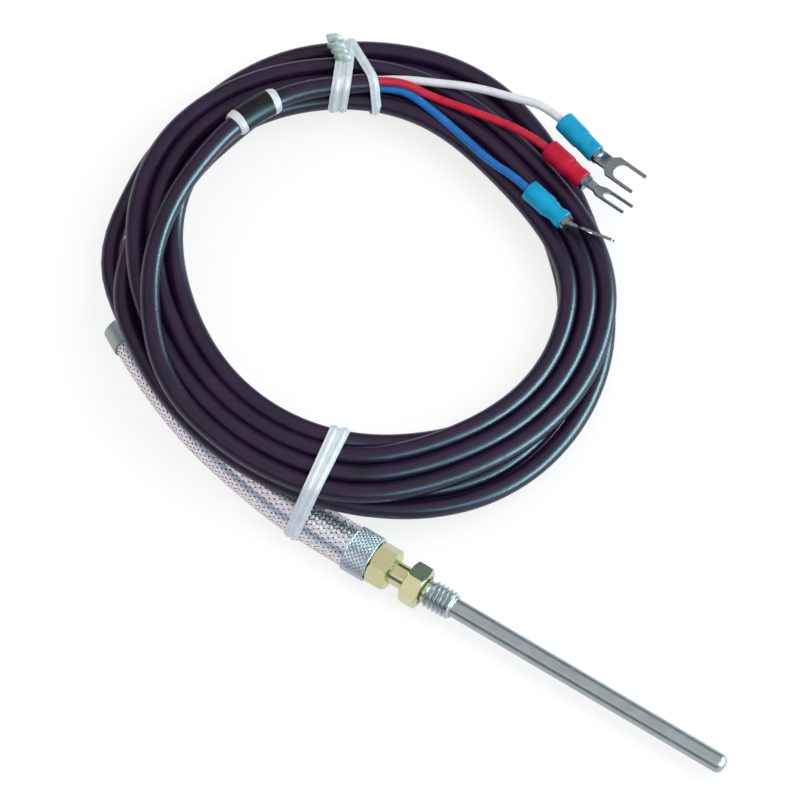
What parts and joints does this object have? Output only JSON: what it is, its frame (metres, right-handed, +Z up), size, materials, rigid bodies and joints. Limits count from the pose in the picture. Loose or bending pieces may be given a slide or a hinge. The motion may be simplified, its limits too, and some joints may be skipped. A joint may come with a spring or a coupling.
{
  "type": "rtd probe",
  "caption": "Resistance thermometer: slim steel sheath with a swivelling hexagon mounting screw, armoured hose and a coiled lead ending in fork terminals.",
  "frame": {"origin": "On the resting surface, under the middle of the rigid probe from its crimped collar to its tip", "axes": "+X along the probe towards its tip, +Z up, +Y towards the coil"},
  "size_m": [0.1675, 0.1074, 0.0208],
  "materials": {
    "sheath_steel": "drawn, satin",
    "fitting_brass": "pale passivated, machined",
    "spring_steel": "drawn",
    "collar_steel": "rolled, satin",
    "braid_steel": "woven wire",
    "cable_jacket": "soft gloss",
    "wire_white": "soft gloss",
    "wire_red": "soft gloss",
    "wire_blue": "soft gloss",
    "sleeve_blue": "moulded",
    "sleeve_red": "moulded",
    "tinned_copper": "tinned",
    "marker": "matt, bare",
    "tie_strip": "paper-like plastic over a wire",
    "ceramic": "fired ceramic",
    "conductor": "drawn wire",
    "potting": "cast resin"
  },
  "bodies": {
    "probe": {"sheath_tube": "sheath_steel", "rtd_element": "ceramic", "element_leads": "conductor", "lead_insulator": "ceramic", "inner_conductors": "conductor", "potting_plug": "potting", "snap_ring": "spring_steel", "hose_adapter": "fitting_brass", "hose_collar": "collar_steel", "armour_hose": "braid_steel", "hose_ferrule": "collar_steel", "cable_coil": "cable_jacket", "cable_lead": "cable_jacket", "cable_tail": "cable_jacket", "marker_sleeve": "marker", "wire_white": "wire_white", "wire_red": "wire_red", "wire_blue": "wire_blue", "terminal_sleeve_white": "sleeve_blue", "terminal_sleeve_red": "sleeve_red", "terminal_sleeve_blue": "sleeve_blue", "terminal_fork_white": "tinned_copper", "terminal_fork_red": "tinned_copper", "terminal_fork_blue": "tinned_copper", "lower_tie": "tie_strip", "upper_tie": "tie_strip"},
    "screw": {"mounting_screw": "fitting_brass"}
  },
  "joints": [
    {"name": "screw_swivel", "type": "hinge", "parent": "probe", "child": "screw", "pos_m": [-0.02935, 0, 0.0049], "axis": [1, 0, 0], "continuous": true}
  ]
}
